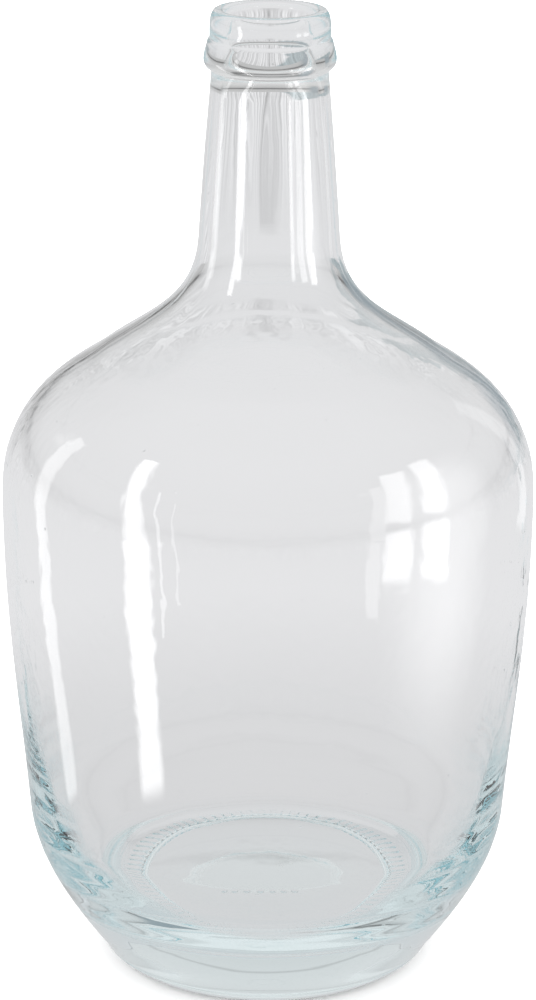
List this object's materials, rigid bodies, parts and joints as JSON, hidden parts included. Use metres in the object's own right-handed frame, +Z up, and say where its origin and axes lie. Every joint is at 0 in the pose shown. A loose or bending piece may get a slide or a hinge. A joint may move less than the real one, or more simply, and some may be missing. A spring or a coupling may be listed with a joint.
{
  "type": "glass carboy",
  "caption": "Clear glass carboy for fermenting and storing wine or beer: tapered body, sloping shoulder, long neck, collared lip and knurled bearing ring.",
  "frame": {"origin": "centre of the bearing ring's circle, in the plane the carboy stands on", "axes": "+Z up along the axis of the glass, out through the mouth; +X and +Y are any two directions across it"},
  "size_m": [0.19, 0.19, 0.349],
  "materials": {
    "clear_glass": "fire-polished, clear"
  },
  "bodies": {
    "root": {"glass_vessel": "clear_glass"}
  },
  "joints": []
}
